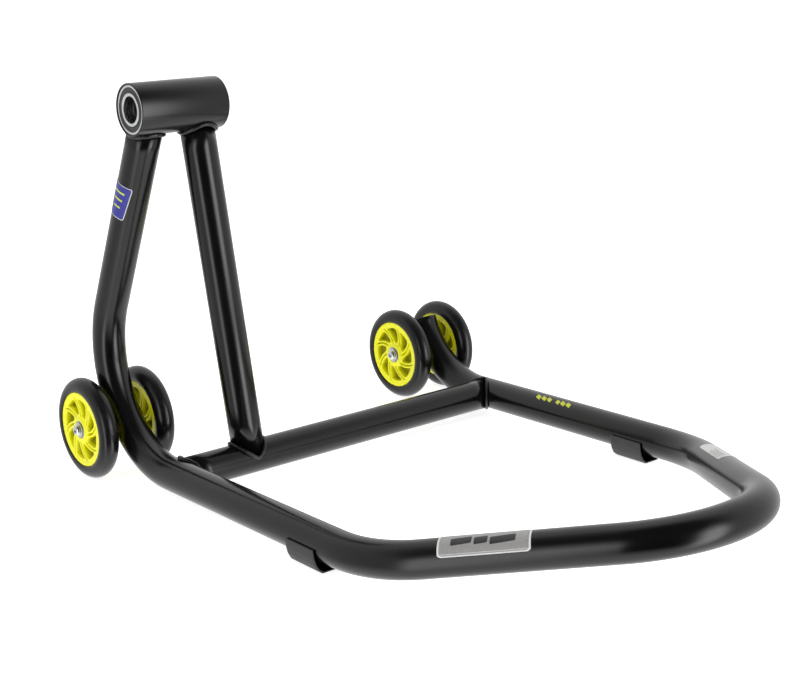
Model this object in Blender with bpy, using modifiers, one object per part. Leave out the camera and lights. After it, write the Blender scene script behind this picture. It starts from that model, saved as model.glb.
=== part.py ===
"""Single-sided paddock stand: bent tube frame, lifting hub housing and two pairs of transport wheels.

Metres, +Z up, floor at z = 0.  X runs across the stand, the front bow is at -Y and the wheels at +Y.
"""
import math

import bpy
from mathutils import Vector

# ---------------------------------------------------------------- driving dimensions
OFFSET_X = -0.0023          # puts the bounding box on the origin in X
AXLE_Y = 0.3570             # wheel axle line
WHEEL_R = 0.0625            # 125 mm wheels
WHEEL_HALF = 0.0120
WHEEL_OFFSET = 0.0388       # wheel mid-plane to rail plane
HUB_R = 0.0465
TUBE_R = 0.0200             # 40 mm tube
TUBE_WALL = 0.0020
RAIL_X = 0.2473
RAIL_Z = 0.0257             # rail height at the rear bend
RAIL_SLOPE = -0.0082        # the rails rise very slightly towards the bow
BEND_Y = 0.0841             # rail line and upright line meet here, from the axle
BEND_CLR = 0.1290
HORN_ANGLE = math.radians(68.0)
HOUSING_Y = -0.1317         # housing axis, from the axle
HOUSING_Z = 0.4565
HOUSING_R = 0.0295
HOUSING_BORE_R = 0.0275
HOUSING_X0 = -0.2729
HOUSING_X1 = -0.1602
CROSS_Y = -0.1412
STRUT_BASE_X = -0.1465
STRUT_TOP_X = -0.1904
BOW_Y = -0.5054             # the bow starts to turn in here
BOW_SIDE_CLR = 0.1600
BOW_APEX_Y = -0.8449        # both taper lines meet here on the centre line
BOW_CLR = 0.1245
BOW_RISE = 0.2000           # the bow's plane rises by this per metre of length
FOOT_Y = -0.4142
FOOT_LENGTH = 0.0488
FOOT_SOLE_HALF = 0.0105
GAP = 0.0003
BUSH_R = 0.0100
BOLT_R = 0.0040
BORE_R = 0.0043
BEAD_R = 0.0026
STEP = math.radians(9.0)
SIDES = 24

# ---------------------------------------------------------------- clean start
for old in list(bpy.data.objects):
    bpy.data.objects.remove(old, do_unlink=True)

PARTS = bpy.context.scene.collection
CUTTERS = bpy.data.collections.new("cutters")
PARTS.children.link(CUTTERS)


def at(x, y, z):
    """Point from coordinates measured at the axle line."""
    return Vector((x + OFFSET_X, y + AXLE_Y, z))


def rail_z(y):
    return RAIL_Z + RAIL_SLOPE * (y + 0.056)


def material(name, colour, metallic, roughness):
    mat = bpy.data.materials.new(name)
    mat.use_nodes = True
    shader = mat.node_tree.nodes["Principled BSDF"]
    shader.inputs["Base Color"].default_value = (*colour, 1.0)
    shader.inputs["Metallic"].default_value = metallic
    shader.inputs["Roughness"].default_value = roughness
    mat.diffuse_color = (*colour, 1.0)
    return mat


LOOKS = {
    "coat": ((0.018, 0.018, 0.020), 0.0, 0.32),
    "weld": ((0.030, 0.030, 0.032), 0.0, 0.22),
    "steel": ((0.62, 0.63, 0.65), 1.0, 0.28),
    "seal": ((0.045, 0.045, 0.050), 0.0, 0.55),
    "zinc": ((0.70, 0.71, 0.72), 1.0, 0.30),
    "hub": ((0.78, 0.84, 0.01), 0.0, 0.40),
    "tyre": ((0.020, 0.020, 0.022), 0.0, 0.50),
    "foot": ((0.050, 0.050, 0.052), 0.0, 0.60),
    "label_grey": ((0.55, 0.56, 0.57), 0.2, 0.45),
    "label_white": ((0.75, 0.75, 0.76), 0.0, 0.45),
    "label_blue": ((0.02, 0.04, 0.35), 0.0, 0.40),
}


def dress(obj, look):
    """Give a part its own material and smooth its curved faces."""
    colour, metallic, roughness = LOOKS[look]
    obj.data.materials.clear()
    obj.data.materials.append(material(obj.name, colour, metallic, roughness))
    return obj


def new_object(name, data, collection=None):
    obj = bpy.data.objects.new(name, data)
    (collection or PARTS).objects.link(obj)
    return obj


def as_cutter(obj):
    obj.hide_render = True
    obj.display_type = "WIRE"
    return obj


def cut(obj, *cutters):
    for cutter in cutters:
        mod = obj.modifiers.new(cutter.name, "BOOLEAN")
        mod.operation = "DIFFERENCE"
        mod.solver = "EXACT"
        mod.object = cutter
    return obj


# ---------------------------------------------------------------- paths
def filleted(corners, radii):
    """Polyline through the corners with each inner corner rounded to its radius."""
    points = [corners[0].copy()]
    for i in range(1, len(corners) - 1):
        before, corner, after = corners[i - 1], corners[i], corners[i + 1]
        arrive = (corner - before).normalized()
        leave = (after - corner).normalized()
        turn = arrive.angle(leave)
        radius = radii[i - 1]
        start = corner - arrive * radius * math.tan(turn / 2)
        inward = (leave - arrive * arrive.dot(leave)).normalized()
        centre = start + inward * radius
        steps = max(2, math.ceil(turn / STEP))
        for k in range(steps + 1):
            a = turn * k / steps
            points.append(centre + radius * (arrive * math.sin(a) - inward * math.cos(a)))
    points.append(corners[-1].copy())
    return points


def swept(name, points, radius, sides, cyclic=False, caps=True, collection=None):
    """Round bar along a path, as a mesh object."""
    curve = bpy.data.curves.new(name, "CURVE")
    curve.dimensions = "3D"
    curve.bevel_depth = radius
    curve.bevel_resolution = sides // 2 - 2
    curve.use_fill_caps = caps
    curve.twist_mode = "MINIMUM"
    spline = curve.splines.new("POLY")
    spline.points.add(len(points) - 1)
    for point, place in zip(spline.points, points):
        point.co = (*place, 1.0)
    spline.use_cyclic_u = cyclic
    temp = new_object(name + "_curve", curve, collection)
    bpy.context.view_layer.update()
    depsgraph = bpy.context.evaluated_depsgraph_get()
    mesh = bpy.data.meshes.new_from_object(temp.evaluated_get(depsgraph))
    matrix = temp.matrix_world.copy()
    bpy.data.objects.remove(temp, do_unlink=True)
    bpy.data.curves.remove(curve)
    mesh.name = name
    obj = new_object(name, mesh, collection)
    obj.matrix_world = matrix
    if caps:
        weld = obj.modifiers.new("caps", "WELD")
        weld.merge_threshold = 0.00001
    return obj


def tube(name, points, look):
    """Hollow tube along a path."""
    obj = swept(name, points, TUBE_R, SIDES, caps=False)
    wall = obj.modifiers.new("wall", "SOLIDIFY")
    wall.thickness = TUBE_WALL
    wall.offset = -1.0
    wall.use_even_offset = True
    for face in obj.data.polygons:
        face.use_smooth = True
    return dress(obj, look)


def turned(name, profile, place, look, steps=24, collection=None):
    """Ring or bar turned about the X axis.  The profile lists (radius, height) points of a closed
    outline, down its outer side from top to bottom, where height runs along +X of the stand."""
    mesh = bpy.data.meshes.new(name)
    count = len(profile)
    on_axis = profile[0][0] == 0.0
    edges = [(i, i + 1) for i in range(count - 1)]
    if not on_axis:
        edges.append((count - 1, 0))
    mesh.from_pydata([(r, 0.0, h) for r, h in profile], edges, [])
    obj = new_object(name, mesh, collection)
    obj.location = place
    obj.rotation_euler = (0.0, math.pi / 2, 0.0)
    screw = obj.modifiers.new("turn", "SCREW")
    screw.axis = "Z"
    screw.angle = 2 * math.pi
    screw.steps = steps
    screw.render_steps = steps
    screw.use_merge_vertices = True
    screw.merge_threshold = 0.00005
    screw.use_smooth_shade = True
    if look:
        dress(obj, look)
    return obj


def ring_profile(inner, outer, low, high, chamfer=0.0):
    """Rectangular ring section with an optional chamfer on its outer edges."""
    if chamfer:
        return [(outer - chamfer, high), (outer, high - chamfer), (outer, low + chamfer),
                (outer - chamfer, low), (inner, low), (inner, high)]
    return [(outer, high), (outer, low), (inner, low), (inner, high)]


def saddle(branch, along, radius, head, head_axis, head_radius, count=26):
    """Closed path where two round bars of the given radii meet, on the branch's own side."""
    along = along.normalized()
    head_axis = head_axis.normalized()
    side = along.orthogonal().normalized()
    up = along.cross(side)
    path = []
    for k in range(count):
        a = 2 * math.pi * k / count
        base = branch + radius * (side * math.cos(a) + up * math.sin(a)) - head
        p = base - head_axis * base.dot(head_axis)
        d = along - head_axis * along.dot(head_axis)
        qa, qb, qc = d.dot(d), 2 * p.dot(d), p.dot(p) - head_radius ** 2
        root = math.sqrt(max(qb * qb - 4 * qa * qc, 0.0))
        t = (-qb + root) / (2 * qa)
        path.append(base + head + along * t)
    return path


# ---------------------------------------------------------------- frame paths
lean = Vector((0.0, HOUSING_Y - BEND_Y, HOUSING_Z - rail_z(BEND_Y)))
apex = at(0.0, BOW_APEX_Y, rail_z(BOW_Y) + BOW_RISE * (BOW_Y - BOW_APEX_Y))
full_turn = math.pi - math.atan2(lean.z, -lean.y)

left_corners = [
    at(-RAIL_X, HOUSING_Y, HOUSING_Z),
    at(-RAIL_X, BEND_Y, rail_z(BEND_Y)),
    at(-RAIL_X, BOW_Y, rail_z(BOW_Y)),
    apex,
    at(RAIL_X, BOW_Y, rail_z(BOW_Y)),
]
tangent_y = BEND_Y - BEND_CLR * math.tan(full_turn / 2)
horn_centre = Vector((tangent_y, rail_z(tangent_y) + BEND_CLR))
horn = []
for k in range(10):
    a = HORN_ANGLE * k / 9
    horn.append(at(RAIL_X, horn_centre.x + BEND_CLR * math.sin(a), horn_centre.y - BEND_CLR * math.cos(a)))
main_path = filleted(left_corners + [horn[0]], [BEND_CLR, BOW_SIDE_CLR, BOW_CLR, BOW_SIDE_CLR])
main_path = main_path[:-1] + horn

cross_left = at(-RAIL_X, CROSS_Y, rail_z(CROSS_Y))
cross_right = at(RAIL_X, CROSS_Y, rail_z(CROSS_Y))
strut_base = at(STRUT_BASE_X, CROSS_Y, rail_z(CROSS_Y))
strut_top = at(STRUT_TOP_X, HOUSING_Y, HOUSING_Z)
housing_mid = at((HOUSING_X0 + HOUSING_X1) / 2, HOUSING_Y, HOUSING_Z)
housing_half = (HOUSING_X1 - HOUSING_X0) / 2

# ---------------------------------------------------------------- cutters
housing_cutter = as_cutter(turned(
    "housing_cutter", [(0.0, 0.09), (HOUSING_R + GAP, 0.09), (HOUSING_R + GAP, -0.09), (0.0, -0.09)],
    housing_mid, None, 48, CUTTERS))
near_left = [p for p in main_path if p.x < -0.2 and abs(p.y - AXLE_Y - CROSS_Y) < 0.12 and p.z < 0.2]
near_right = [p for p in main_path if p.x > 0.2 and abs(p.y - AXLE_Y - CROSS_Y) < 0.12]
near_left.append(at(-RAIL_X, CROSS_Y - 0.1, rail_z(CROSS_Y - 0.1)))
near_right.insert(0, at(RAIL_X, CROSS_Y - 0.1, rail_z(CROSS_Y - 0.1)))
rail_cutter_l = as_cutter(swept("rail_cutter_l", near_left, TUBE_R + GAP, 32, collection=CUTTERS))
rail_cutter_r = as_cutter(swept("rail_cutter_r", near_right, TUBE_R + GAP, 32, collection=CUTTERS))
cross_cutter = as_cutter(swept(
    "cross_cutter", [strut_base - Vector((0.06, 0, 0)), strut_base + Vector((0.06, 0, 0))],
    TUBE_R + GAP, 48, collection=CUTTERS))
bush_cutters = []
for side, x in (("l", -RAIL_X), ("r", RAIL_X)):
    bush_cutters.append(as_cutter(turned(
        "bush_cutter_" + side,
        [(0.0, 0.03), (BUSH_R + GAP, 0.03), (BUSH_R + GAP, -0.03), (0.0, -0.03)],
        at(x, 0.0, WHEEL_R), None, 24, CUTTERS)))

# ---------------------------------------------------------------- frame
main_tube = cut(tube("main_tube", main_path, "coat"), housing_cutter, *bush_cutters)
cross_tube = cut(tube("cross_tube", [cross_left, cross_right], "coat"), rail_cutter_l, rail_cutter_r)
strut_tube = cut(tube("strut_tube", [strut_base, strut_top], "coat"), cross_cutter, housing_cutter)
bearing_housing = turned(
    "bearing_housing",
    ring_profile(HOUSING_BORE_R, HOUSING_R, -housing_half, housing_half, 0.0008),
    housing_mid, "coat", 48)

# ---------------------------------------------------------------- weld beads
across = Vector((1.0, 0.0, 0.0))
bead = BEAD_R + GAP
upright_dir = Vector((0.0, BEND_Y - HOUSING_Y, rail_z(BEND_Y) - HOUSING_Z))
strut_dir = strut_base - strut_top
rail_dir = Vector((0.0, 1.0, RAIL_SLOPE))
BEADS = {
    "weld_upright": saddle(main_path[0], upright_dir, TUBE_R + bead, housing_mid, across, HOUSING_R + bead),
    "weld_strut_top": saddle(strut_top, strut_dir, TUBE_R + bead, housing_mid, across, HOUSING_R + bead),
    "weld_strut_base": saddle(strut_base, -strut_dir, TUBE_R + bead, strut_base, across,
                              TUBE_R + bead + GAP),
    "weld_cross_l": saddle(cross_left, across, TUBE_R + bead, cross_left, rail_dir, TUBE_R + bead + GAP),
    "weld_cross_r": saddle(cross_right, -across, TUBE_R + bead, cross_right, rail_dir,
                           TUBE_R + bead + GAP),
}
for name, path in BEADS.items():
    bead_obj = swept(name, path, BEAD_R, 6, cyclic=True, caps=False)
    for face in bead_obj.data.polygons:
        face.use_smooth = True
    dress(bead_obj, "weld")

# ---------------------------------------------------------------- housing bearings
INSET = 0.0010
RACE_W = 0.0130
for side, sign in (("l", -1), ("r", 1)):
    centre = housing_mid + Vector((sign * (housing_half - INSET - RACE_W / 2), 0.0, 0.0))
    half = RACE_W / 2
    turned("bearing_outer_" + side, ring_profile(0.0245, HOUSING_BORE_R - GAP, -half, half, 0.0006),
           centre, "steel", 40)
    turned("bearing_seal_" + side, ring_profile(0.0188, 0.0242, -half + 0.0006, half - 0.0006),
           centre, "seal", 40)
    turned("bearing_inner_" + side, ring_profile(0.0150, 0.0185, -half, half, 0.0004),
           centre, "steel", 40)
sleeve_half = housing_half - INSET - RACE_W - GAP
turned("distance_sleeve", ring_profile(0.0152, 0.0180, -sleeve_half, sleeve_half), housing_mid, "steel", 32)

# ---------------------------------------------------------------- feet
def foot(name, x):
    """Saddle under a rail with a flat sole, drawn in section and extruded along the rail."""
    z = rail_z(FOOT_Y)
    half = [(FOOT_SOLE_HALF, 0.0), (0.0165, 0.0045), (0.0203, 0.0115), (0.0222, 0.0190), (0.0229, z),
            (0.0205, z), (0.0200, 0.0200), (0.0178, 0.0125), (0.0140, 0.0060), (0.0090, 0.0026)]
    outline = half + [(-a, b) for a, b in reversed(half)]
    curve = bpy.data.curves.new(name, "CURVE")
    curve.dimensions = "2D"
    curve.fill_mode = "BOTH"
    curve.extrude = FOOT_LENGTH / 2
    spline = curve.splines.new("POLY")
    spline.points.add(len(outline) - 1)
    for point, (a, b) in zip(spline.points, outline):
        point.co = (a, b, 0.0, 1.0)
    spline.use_cyclic_u = True
    temp = new_object(name + "_curve", curve)
    bpy.context.view_layer.update()
    depsgraph = bpy.context.evaluated_depsgraph_get()
    mesh = bpy.data.meshes.new_from_object(temp.evaluated_get(depsgraph))
    bpy.data.objects.remove(temp, do_unlink=True)
    bpy.data.curves.remove(curve)
    obj = new_object(name, mesh)
    obj.rotation_euler = (math.pi / 2, 0.0, 0.0)
    obj.location = at(x, FOOT_Y, 0.0)
    weld = obj.modifiers.new("close", "WELD")
    weld.merge_threshold = 0.00001
    return dress(obj, "foot")


foot("foot_l", -RAIL_X)
foot("foot_r", RAIL_X)

# ---------------------------------------------------------------- wheels
def tyre_profile():
    """Round tread closed by a flat bore that sits on the hub."""
    points = []
    core = WHEEL_R - WHEEL_HALF
    start = math.asin((core - HUB_R) / WHEEL_HALF)
    count = 11
    for k in range(count + 1):
        a = math.pi / 2 + start - (math.pi + 2 * start) * k / count
        points.append((core + WHEEL_HALF * math.cos(a), WHEEL_HALF * math.sin(a)))
    return points


RIM_HALF = 0.0108
POCKETS = 8
BOSS_HALF = 0.0120
hub_profile = [
    (0.0150, BOSS_HALF), (0.0165, RIM_HALF), (HUB_R - GAP, RIM_HALF), (HUB_R - GAP, -RIM_HALF),
    (0.0165, -RIM_HALF), (0.0150, -BOSS_HALF), (0.0113, -BOSS_HALF), (0.0113, BOSS_HALF),
]


def pocket_outline(index):
    """Curved pocket between two swirling spokes of a wheel hub."""
    inner, outer, sweep = 0.0185, 0.0385, math.radians(34)
    width_in, width_out = math.radians(17), math.radians(31)
    base = 2 * math.pi * index / POCKETS
    points = []
    for side, order in ((-0.5, (0, 1, 2, 3)), (0.5, (3, 2, 1, 0))):
        for k in order:
            t = k / 3
            r = inner + (outer - inner) * t
            a = base + sweep * t ** 1.4 + side * (width_in + (width_out - width_in) * t)
            points.append((r * math.cos(a), r * math.sin(a)))
    return points


def pocket_cutter(name, place, low, high):
    curve = bpy.data.curves.new(name, "CURVE")
    curve.dimensions = "2D"
    curve.fill_mode = "BOTH"
    curve.extrude = (high - low) / 2
    for index in range(POCKETS):
        outline = pocket_outline(index)
        spline = curve.splines.new("POLY")
        spline.points.add(len(outline) - 1)
        for point, (a, b) in zip(spline.points, outline):
            point.co = (a, b, 0.0, 1.0)
        spline.use_cyclic_u = True
    temp = new_object(name + "_curve", curve, CUTTERS)
    bpy.context.view_layer.update()
    depsgraph = bpy.context.evaluated_depsgraph_get()
    mesh = bpy.data.meshes.new_from_object(temp.evaluated_get(depsgraph))
    bpy.data.objects.remove(temp, do_unlink=True)
    bpy.data.curves.remove(curve)
    obj = new_object(name, mesh, CUTTERS)
    obj.rotation_euler = (0.0, math.pi / 2, 0.0)
    obj.location = place + Vector(((low + high) / 2, 0.0, 0.0))
    weld = obj.modifiers.new("close", "WELD")
    weld.merge_threshold = 0.00001
    return as_cutter(obj)


WHEELS = (("left_outer", -RAIL_X - WHEEL_OFFSET), ("left_inner", -RAIL_X + WHEEL_OFFSET),
          ("right_inner", RAIL_X - WHEEL_OFFSET), ("right_outer", RAIL_X + WHEEL_OFFSET))
for name, x in WHEELS:
    centre = at(x, 0.0, WHEEL_R)
    turned("tyre_" + name, tyre_profile(), centre, "tyre", 36)
    hub = turned("hub_" + name, hub_profile, centre, "hub", 30)
    cut(hub, pocket_cutter("pockets_a_" + name, centre, 0.0030, 0.0200),
        pocket_cutter("pockets_b_" + name, centre, -0.0200, -0.0030))
    for end, sign in (("a", -1), ("b", 1)):
        race = centre + Vector((sign * 0.0085, 0.0, 0.0))
        turned("race_outer_%s_%s" % (end, name), ring_profile(0.0064, 0.0110, -0.0035, 0.0035),
               race, "steel", 20)
        turned("race_inner_%s_%s" % (end, name), ring_profile(BORE_R, 0.0061, -0.0035, 0.0035),
               race, "steel", 16)
    turned("spacer_" + name, ring_profile(BORE_R, 0.0058, -0.0047, 0.0047), centre, "steel", 16)

# ---------------------------------------------------------------- axles
NOSE = WHEEL_OFFSET - BOSS_HALF - GAP
FACE = WHEEL_OFFSET + BOSS_HALF
for side, x in (("l", -RAIL_X), ("r", RAIL_X)):
    centre = at(x, 0.0, WHEEL_R)
    turned("axle_bush_" + side,
           [(0.0064, NOSE), (0.0064, 0.0235), (BUSH_R, 0.0235), (BUSH_R, -0.0235), (0.0064, -0.0235),
            (0.0064, -NOSE), (BORE_R, -NOSE), (BORE_R, NOSE)], centre, "coat", 24)
    for end, sign in (("head", -1), ("nut", 1)):
        turned("washer_%s_%s" % (end, side), ring_profile(BORE_R, 0.0090, -0.0008, 0.0008),
               centre + Vector((sign * (FACE + GAP + 0.0008), 0.0, 0.0)), "zinc", 24)
    seat = FACE + 2 * GAP + 0.0016
    head = seat + 0.0044
    bolt = turned("axle_bolt_" + side,
                  [(0.0, seat + 0.0090), (BOLT_R - 0.0006, seat + 0.0090), (BOLT_R, seat + 0.0084),
                   (BOLT_R, -seat), (0.0070, -seat), (0.0070, -seat - 0.0012), (0.0062, -seat - 0.0030),
                   (0.0045, -head + 0.0004), (0.0035, -head), (0.0, -head)], centre, "zinc", 20)
    socket = turned("socket_" + side, [(0.0, 0.0026), (0.0029, 0.0026), (0.0029, -0.0026), (0.0, -0.0026)],
                    centre + Vector((-head, 0.0, 0.0)), None, 6, CUTTERS)
    cut(bolt, as_cutter(socket))
    place = centre + Vector((seat, 0.0, 0.0))
    nut = turned("axle_nut_" + side, [(0.0, 0.0080), (0.0075, 0.0080), (0.0075, 0.0), (0.0, 0.0)],
                 place, "zinc", 6)
    cut(nut, as_cutter(turned("nut_bore_" + side,
                              [(0.0, 0.0100), (BORE_R, 0.0100), (BORE_R, -0.0020), (0.0, -0.0020)],
                              place, None, 20, CUTTERS)))

bpy.context.view_layer.update()
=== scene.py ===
import math

import bmesh
import bpy
from mathutils import Matrix, Vector, noise


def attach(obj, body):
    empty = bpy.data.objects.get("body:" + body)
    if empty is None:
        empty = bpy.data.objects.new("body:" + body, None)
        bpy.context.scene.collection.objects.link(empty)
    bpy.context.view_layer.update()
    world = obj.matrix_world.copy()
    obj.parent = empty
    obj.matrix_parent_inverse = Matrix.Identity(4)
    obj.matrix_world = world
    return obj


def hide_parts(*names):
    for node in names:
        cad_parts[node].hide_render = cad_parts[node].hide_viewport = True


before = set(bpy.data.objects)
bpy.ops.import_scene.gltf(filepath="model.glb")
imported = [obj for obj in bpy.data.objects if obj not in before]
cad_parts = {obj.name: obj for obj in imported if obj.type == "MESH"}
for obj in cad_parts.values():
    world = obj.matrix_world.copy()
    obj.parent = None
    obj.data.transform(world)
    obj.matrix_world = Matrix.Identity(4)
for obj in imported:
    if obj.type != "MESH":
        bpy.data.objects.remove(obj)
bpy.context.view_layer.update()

# ---------------------------------------------------------------- dimensions shared with the CAD, in metres
OFFSET_X, AXLE_Y = -0.0023, 0.3570
WHEEL_R, WHEEL_HALF, WHEEL_OFFSET, HUB_R = 0.0625, 0.0120, 0.0388, 0.0465
TUBE_R, TUBE_WALL, RAIL_X = 0.0200, 0.0020, 0.2473
RAIL_Z, RAIL_SLOPE = 0.0257, -0.0082
BEND_Y, BEND_CLR, HORN_ANGLE = 0.0841, 0.1290, math.radians(68.0)
HOUSING_Y, HOUSING_Z, HOUSING_R, HOUSING_BORE_R = -0.1317, 0.4565, 0.0295, 0.0275
HOUSING_X0, HOUSING_X1 = -0.2729, -0.1602
CROSS_Y, STRUT_BASE_X, STRUT_TOP_X = -0.1412, -0.1465, -0.1904
BOW_Y, BOW_SIDE_CLR, BOW_APEX_Y, BOW_CLR, BOW_RISE = -0.5054, 0.1600, -0.8449, 0.1245, 0.2000
FOOT_Y, FOOT_LENGTH, FOOT_SOLE_HALF = -0.4142, 0.0488, 0.0105
BEAD_OFFSET = 0.0013
ACROSS = Vector((1.0, 0.0, 0.0))


def at(x, y, z):
    """Point from coordinates measured at the axle line."""
    return Vector((x + OFFSET_X, y + AXLE_Y, z))


def rail_z(y):
    return RAIL_Z + RAIL_SLOPE * (y + 0.056)


def smoothstep(low, high, value):
    t = min(max((value - low) / (high - low), 0.0), 1.0)
    return t * t * (3 - 2 * t)


# ---------------------------------------------------------------- materials
class Paint:
    """Small helper around a node tree: links are made by naming sockets."""

    def __init__(self, name, colour, roughness, metallic=0.0, **extra):
        self.mat = bpy.data.materials.new(name)
        self.mat.use_nodes = True
        self.nodes = self.mat.node_tree.nodes
        self.links = self.mat.node_tree.links
        self.shader = self.nodes["Principled BSDF"]
        self.shader.inputs["Base Color"].default_value = (*colour, 1.0)
        self.shader.inputs["Roughness"].default_value = roughness
        self.shader.inputs["Metallic"].default_value = metallic
        for key, value in extra.items():
            self.shader.inputs[key.replace("_", " ")].default_value = value
        self.coords = self.nodes.new("ShaderNodeTexCoord").outputs["Object"]
        self.height = None

    def noise(self, scale, detail=3.0, rough=0.5, stretch=None):
        vector = self.coords
        if stretch:
            mapping = self.nodes.new("ShaderNodeMapping")
            mapping.inputs["Scale"].default_value = stretch
            self.links.new(vector, mapping.inputs["Vector"])
            vector = mapping.outputs["Vector"]
        node = self.nodes.new("ShaderNodeTexNoise")
        node.inputs["Scale"].default_value = scale
        node.inputs["Detail"].default_value = detail
        node.inputs["Roughness"].default_value = rough
        self.links.new(vector, node.inputs["Vector"])
        return node.outputs["Fac"]

    def remap(self, source, from_low, from_high, to_low, to_high):
        node = self.nodes.new("ShaderNodeMapRange")
        node.inputs["From Min"].default_value = from_low
        node.inputs["From Max"].default_value = from_high
        node.inputs["To Min"].default_value = to_low
        node.inputs["To Max"].default_value = to_high
        self.links.new(source, node.inputs["Value"])
        return node.outputs["Result"]

    def maths(self, operation, a, b):
        node = self.nodes.new("ShaderNodeMath")
        node.operation = operation
        for socket, value in zip(node.inputs, (a, b)):
            if isinstance(value, (int, float)):
                socket.default_value = value
            else:
                self.links.new(value, socket)
        return node.outputs[0]

    def ramp(self, source, *stops):
        node = self.nodes.new("ShaderNodeValToRGB")
        ramp = node.color_ramp
        while len(ramp.elements) < len(stops):
            ramp.elements.new(0.5)
        for element, (place, colour) in zip(ramp.elements, stops):
            element.position = place
            element.color = (*colour, 1.0)
        self.links.new(source, node.inputs["Fac"])
        return node.outputs["Color"]

    def bump(self, source, distance, strength=1.0):
        node = self.nodes.new("ShaderNodeBump")
        node.inputs["Distance"].default_value = distance
        node.inputs["Strength"].default_value = strength
        self.links.new(source, node.inputs["Height"])
        if self.height:
            self.links.new(self.height, node.inputs["Normal"])
        self.height = node.outputs["Normal"]
        self.links.new(self.height, self.shader.inputs["Normal"])
        return self

    def feed(self, socket, source):
        self.links.new(source, self.shader.inputs[socket])
        return self


def powder_coat(name="powder_coat", level=0.0030, gloss=0.20):
    """Semi-gloss black powder coat: fine orange peel, faint cloudiness in gloss and colour."""
    paint = Paint(name, (level, level, level * 1.06), gloss, IOR=1.5)
    cloud = paint.noise(9.0, 4.0)
    peel = paint.noise(900.0, 2.0)
    wide = paint.noise(170.0, 2.0)
    paint.feed("Roughness", paint.remap(cloud, 0.3, 0.7, gloss - 0.04, gloss + 0.05))
    paint.feed("Base Color", paint.ramp(cloud, (0.25, (level * 0.85, level * 0.85, level * 0.9)),
                                        (0.75, (level * 1.2, level * 1.2, level * 1.28))))
    paint.bump(wide, 0.00010, 0.16)
    paint.bump(peel, 0.00006, 0.16)
    return paint.mat


def weld_coat():
    """Powder coat over a weld bead, which lies glossier and lumpier."""
    paint = Paint("weld_coat", (0.010, 0.010, 0.011), 0.16, IOR=1.5)
    lumps = paint.noise(420.0, 4.0, 0.6)
    paint.feed("Roughness", paint.remap(lumps, 0.3, 0.7, 0.11, 0.24))
    paint.bump(lumps, 0.00045, 0.5)
    return paint.mat


def tyre_rubber():
    """Black polyurethane with a satin skin, fine dust in its pores and a scuffed tread."""
    paint = Paint("tyre_pu", (0.006, 0.006, 0.0065), 0.26, IOR=1.48)
    dust = paint.noise(38.0, 5.0, 0.6)
    pores = paint.noise(1100.0, 2.0)
    paint.feed("Base Color", paint.ramp(dust, (0.35, (0.004, 0.004, 0.0045)), (0.80, (0.010, 0.010, 0.011))))
    paint.feed("Roughness", paint.remap(dust, 0.3, 0.7, 0.20, 0.32))
    paint.bump(pores, 0.00005, 0.5)
    return paint.mat


def hub_plastic():
    """Fluorescent yellow moulded plastic, slightly uneven, with fine mould texture in the pockets and painted
    shade that darkens the colour towards the pocket floors.
    """
    paint = Paint("hub_plastic", (0.90, 0.89, 0.0), 0.36, IOR=1.47)
    cloud = paint.noise(26.0, 3.0)
    grain = paint.noise(1500.0, 2.0)
    split = paint.nodes.new("ShaderNodeSeparateXYZ")
    paint.links.new(paint.coords, split.inputs["Vector"])
    # painted shade: the colour darkens with depth from the hub face down to the pocket floors
    pocket_shade = paint.remap(paint.maths("ABSOLUTE", split.outputs["X"], 0.0), 0.0020, 0.0095, 0.0, 0.94)
    pocket_shade_and_tone = paint.maths("ADD", pocket_shade, paint.maths("MULTIPLY", cloud, 0.06))
    # painted shade in the pockets, mixed with a little random tone
    paint.feed("Base Color", paint.ramp(pocket_shade_and_tone, (0.0, (0.30, 0.29, 0.0)), (1.0, (0.97, 0.95, 0.0))))
    paint.feed("Roughness", paint.remap(cloud, 0.3, 0.7, 0.30, 0.42))
    paint.bump(grain, 0.00004, 0.5)
    return paint.mat


def turned_steel(name, colour, rough):
    """Ground steel with fine rings around the X axis of the stand and a slight tint variation."""
    paint = Paint(name, colour, rough, 1.0)
    rings = paint.noise(700.0, 2.0, 0.5, (1.0, 0.06, 0.06))
    cloud = paint.noise(60.0, 3.0)
    dark = tuple(c * 0.86 for c in colour)
    paint.feed("Base Color", paint.ramp(cloud, (0.3, dark), (0.7, colour)))
    paint.feed("Roughness", paint.remap(rings, 0.3, 0.7, rough - 0.06, rough + 0.10))
    paint.bump(rings, 0.00003, 0.4)
    return paint.mat


def zinc_plate():
    """Bright zinc plating, faintly clouded."""
    paint = Paint("zinc_plate", (0.80, 0.82, 0.86), 0.22, 1.0)
    cloud = paint.noise(330.0, 4.0)
    paint.feed("Base Color", paint.ramp(cloud, (0.3, (0.66, 0.68, 0.72)), (0.7, (0.86, 0.88, 0.92))))
    paint.feed("Roughness", paint.remap(cloud, 0.3, 0.7, 0.16, 0.34))
    paint.bump(cloud, 0.00004, 0.4)
    return paint.mat


def soft_rubber(name, level, rough):
    """Matte moulded rubber with a pebbled skin."""
    paint = Paint(name, (level, level, level * 1.04), rough, IOR=1.45)
    dust = paint.noise(55.0, 5.0, 0.6)
    grain = paint.noise(1300.0, 3.0, 0.6)
    paint.feed("Base Color", paint.ramp(dust, (0.3, (level * 0.8,) * 3), (0.8, (level * 1.35,) * 3)))
    paint.feed("Roughness", paint.remap(dust, 0.3, 0.7, rough - 0.06, rough + 0.08))
    paint.bump(grain, 0.00010, 0.5)
    return paint.mat


def label_film(name, low, high, rough, metallic=0.0):
    """Printed film with a fine brushed grain along the label."""
    paint = Paint(name, high, rough, metallic, IOR=1.5)
    grain = paint.noise(420.0, 3.0, 0.6)
    paint.feed("Base Color", paint.ramp(grain, (0.3, low), (0.7, high)))
    paint.feed("Roughness", paint.remap(grain, 0.3, 0.7, rough - 0.05, rough + 0.08))
    paint.bump(grain, 0.00002, 0.4)
    return paint.mat


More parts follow.
